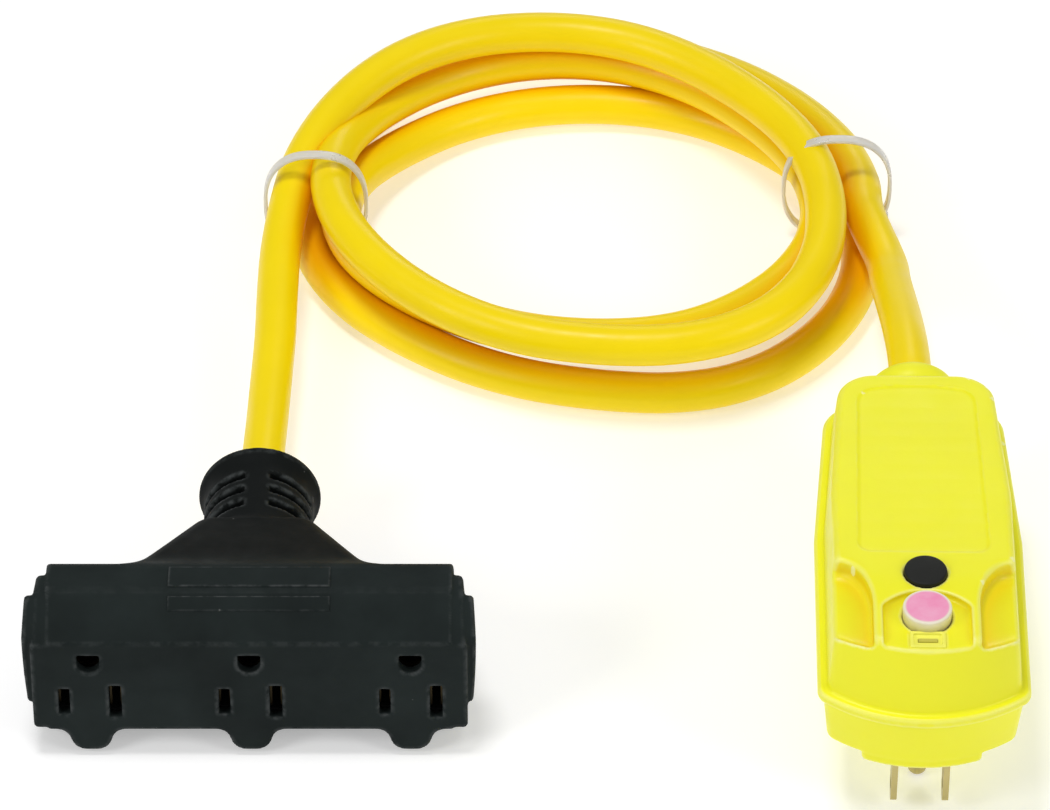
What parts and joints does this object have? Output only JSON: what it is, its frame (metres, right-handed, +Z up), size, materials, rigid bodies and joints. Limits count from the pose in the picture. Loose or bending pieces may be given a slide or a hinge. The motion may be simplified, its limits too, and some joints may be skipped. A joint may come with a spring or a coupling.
{
  "type": "ground-fault plug and outlet tap cord set",
  "caption": "Short extension cord set: a right-angle ground-fault plug with test and reset buttons, a coiled round cord and a moulded three-way grounded outlet tap.",
  "frame": {"origin": "on the surface the set stands on, under the middle of the box round the tap and the plug, without the cord", "axes": "+X from the tap towards the plug, +Y from the outlet faces and plug blades towards the coiled cord, +Z up, against the blades' direction"},
  "size_m": [0.248, 0.304, 0.0603],
  "materials": {
    "plug_shell": "lemon yellow moulded shell, fine satin texture",
    "tap_vinyl": "charcoal overmoulded vinyl, matt",
    "cord_jacket": "golden yellow cord jacket, satin",
    "brass": "stamped and turned brass",
    "copper": "enamelled winding wire",
    "contact_alloy": "copper alloy stampings",
    "steel": "zinc-plated steel",
    "black_nylon": "black moulded nylon",
    "reset_plastic": "pink-topped off-white moulded button",
    "natural_nylon": "natural nylon",
    "clear_plastic": "translucent white nylon",
    "board_laminate": "green circuit board laminate",
    "blue_epoxy": "blue dipped epoxy",
    "black_insulation": "black insulation",
    "white_insulation": "white insulation",
    "green_insulation": "green insulation"
  },
  "bodies": {
    "housings": {"plug_cover": "plug_shell", "plug_base": "plug_shell", "plug_strain_relief": "plug_shell", "cover_screw_1": "steel", "cover_screw_2": "steel", "cover_screw_3": "steel", "cover_screw_4": "steel", "line_blade": "brass", "neutral_blade": "brass", "ground_pin": "brass", "line_fixed_contact": "contact_alloy", "neutral_fixed_contact": "contact_alloy", "test_spring": "steel", "reset_spring": "steel", "break_spring_left": "steel", "break_spring_right": "steel", "mechanism_frame": "natural_nylon", "solenoid_bobbin": "natural_nylon", "solenoid_winding": "copper", "plunger_spring": "steel", "circuit_board": "board_laminate", "test_contact": "contact_alloy", "sense_coil": "black_nylon", "neutral_sense_coil": "black_nylon", "varistor": "blue_epoxy", "filter_capacitor": "blue_epoxy", "controller_chip": "black_nylon", "indicator_led": "clear_plastic", "indicator_lens": "clear_plastic", "cord_clamp": "natural_nylon", "clamp_screw_left": "steel", "clamp_screw_right": "steel", "line_conductor": "black_insulation", "neutral_conductor": "white_insulation", "ground_conductor": "green_insulation", "tap_body": "tap_vinyl", "tap_strain_relief": "tap_vinyl", "contact_block": "natural_nylon", "line_bus": "brass", "neutral_bus": "brass", "ground_bus": "brass", "tap_line_wire": "black_insulation", "tap_neutral_wire": "white_insulation", "tap_ground_wire": "green_insulation", "cord_lead_tap": "cord_jacket", "cord_lead_plug": "cord_jacket", "cord_coil": "cord_jacket", "cable_tie_left": "clear_plastic", "cable_tie_right": "clear_plastic"},
    "test_button": {"test_button": "black_nylon"},
    "reset_button": {"reset_button": "reset_plastic"},
    "contact_carrier": {"contact_carrier": "natural_nylon", "line_moving_contact": "contact_alloy", "neutral_moving_contact": "contact_alloy"},
    "latch_plate": {"latch_plate": "steel"},
    "solenoid_plunger": {"solenoid_plunger": "steel"}
  },
  "joints": [
    {"name": "test_press", "type": "slide", "parent": "housings", "child": "test_button", "axis": [0, 0, -1], "range_m": [0, 0.0015], "stiffness_N_per_m": 600, "springref_m": -0.002, "deforming": ["test_spring"]},
    {"name": "reset_press", "type": "slide", "parent": "housings", "child": "reset_button", "axis": [0, 0, -1], "range_m": [0, 0.003], "stiffness_N_per_m": 800, "springref_m": -0.002, "deforming": ["reset_spring"]},
    {"name": "contact_slide", "type": "slide", "parent": "housings", "child": "contact_carrier", "axis": [0, 0, 1], "range_m": [0, 0.002], "stiffness_N_per_m": 400, "springref_m": -0.002, "deforming": ["break_spring_left", "break_spring_right"]},
    {"name": "plunger_slide", "type": "slide", "parent": "housings", "child": "solenoid_plunger", "axis": [0.0175, 0.9998, 0], "range_m": [0, 0.0016], "stiffness_N_per_m": 200, "springref_m": -0.002, "deforming": ["plunger_spring"]},
    {"name": "latch_slide", "type": "slide", "parent": "contact_carrier", "child": "latch_plate", "axis": [0.0175, 0.9998, 0], "range_m": [0, 0.0016]}
  ],
  "couplings": [
    {"joint": "latch_slide", "follows": "plunger_slide", "ratio": 1}
  ]
}
